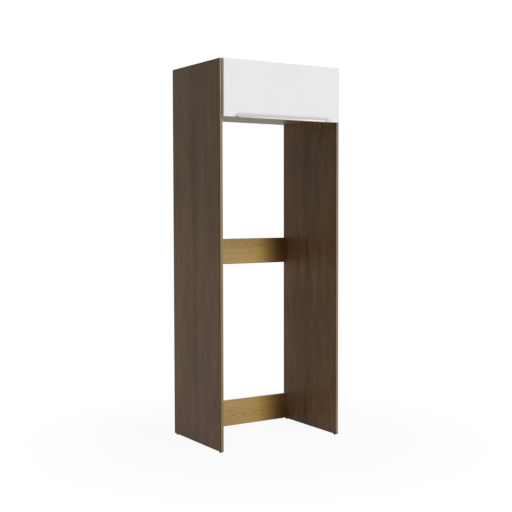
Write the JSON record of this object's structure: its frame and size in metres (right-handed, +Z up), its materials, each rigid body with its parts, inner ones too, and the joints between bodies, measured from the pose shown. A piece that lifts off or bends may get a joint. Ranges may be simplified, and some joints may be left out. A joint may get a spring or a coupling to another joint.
{
  "type": "fridge housing unit",
  "caption": "Tall kitchen housing for a free-standing fridge: side panels and rear rails round an open niche, under a top cupboard with a lift-up flap door.",
  "frame": {"origin": "on the floor, under the middle of the closed unit, door included", "axes": "+X to the viewer's right, +Y from the front to the back, +Z up"},
  "size_m": [0.746, 0.531, 2.0063],
  "materials": {
    "dark_walnut": "satin walnut-brown decor with vertical grain",
    "tan_edge_band": "tan edge band",
    "golden_oak": "golden wood decor with level grain",
    "pale_melamine": "pale grey melamine-faced board",
    "white_satin": "satin white lacquered board",
    "white_back_board": "thin white hardboard",
    "dark_glide": "dark moulded plastic",
    "grey_cover": "light grey moulded plastic",
    "clear_bumper": "soft translucent bumper",
    "nickel_steel": "nickel-plated steel",
    "zinc_cam": "die-cast zinc"
  },
  "bodies": {
    "carcass": {"side_panel_left": "dark_walnut", "side_panel_right": "dark_walnut", "side_edging_left": "tan_edge_band", "side_edging_right": "tan_edge_band", "top_panel": "pale_melamine", "top_edging": "pale_melamine", "bottom_panel": "pale_melamine", "bottom_edging": "pale_melamine", "back_panel": "white_back_board", "mid_rail": "golden_oak", "low_rail": "golden_oak", "foot_front_left": "dark_glide", "foot_back_left": "dark_glide", "foot_front_right": "dark_glide", "foot_back_right": "dark_glide", "cam_top_front_left": "zinc_cam", "cam_top_front_right": "zinc_cam", "cam_top_back_left": "zinc_cam", "cam_top_back_right": "zinc_cam", "cam_bottom_front_left": "zinc_cam", "cam_bottom_front_right": "zinc_cam", "cam_bottom_back_left": "zinc_cam", "cam_bottom_back_right": "zinc_cam", "cam_mid_rail_upper_left": "zinc_cam", "cam_mid_rail_upper_right": "zinc_cam", "cam_mid_rail_lower_left": "zinc_cam", "cam_mid_rail_lower_right": "zinc_cam", "cam_low_rail_upper_left": "zinc_cam", "cam_low_rail_upper_right": "zinc_cam", "cam_low_rail_lower_left": "zinc_cam", "cam_low_rail_lower_right": "zinc_cam", "hinge_plate_left": "nickel_steel", "hinge_plate_right": "nickel_steel", "hinge_arm_left": "nickel_steel", "hinge_arm_right": "nickel_steel", "stay_housing_left": "nickel_steel", "stay_housing_right": "nickel_steel", "stay_cover_left": "grey_cover", "stay_cover_right": "grey_cover"},
    "door": {"door_panel": "white_satin", "bumper_left": "clear_bumper", "bumper_right": "clear_bumper", "hinge_cup_left": "nickel_steel", "hinge_cup_right": "nickel_steel", "hinge_pin_left": "nickel_steel", "hinge_pin_right": "nickel_steel", "stay_bracket_left": "nickel_steel", "stay_bracket_right": "nickel_steel", "door_rivet_left": "nickel_steel", "door_rivet_right": "nickel_steel"},
    "stay_levers": {"stay_lever_left": "nickel_steel", "stay_lever_right": "nickel_steel", "stay_axle_left": "nickel_steel", "stay_axle_right": "nickel_steel", "elbow_rivet_left": "nickel_steel", "elbow_rivet_right": "nickel_steel"},
    "stay_links": {"stay_link_left": "nickel_steel", "stay_link_right": "nickel_steel"}
  },
  "joints": [
    {"name": "door_swing", "type": "hinge", "parent": "carcass", "child": "door", "pos_m": [0, -0.2585, 1.9988], "axis": [-1, 0, 0], "range_deg": [0, 95]},
    {"name": "lever_swing", "type": "hinge", "parent": "carcass", "child": "stay_levers", "pos_m": [0, -0.1965, 1.9408], "axis": [-1, 0, 0], "range_deg": [0, 95]},
    {"name": "link_swing", "type": "hinge", "parent": "stay_levers", "child": "stay_links", "pos_m": [0, -0.1705, 1.8813], "axis": [-1, 0, 0], "range_deg": [-95, 0]}
  ],
  "couplings": [
    {"joint": "lever_swing", "follows": "door_swing", "ratio": 1},
    {"joint": "link_swing", "follows": "door_swing", "ratio": -1}
  ]
}
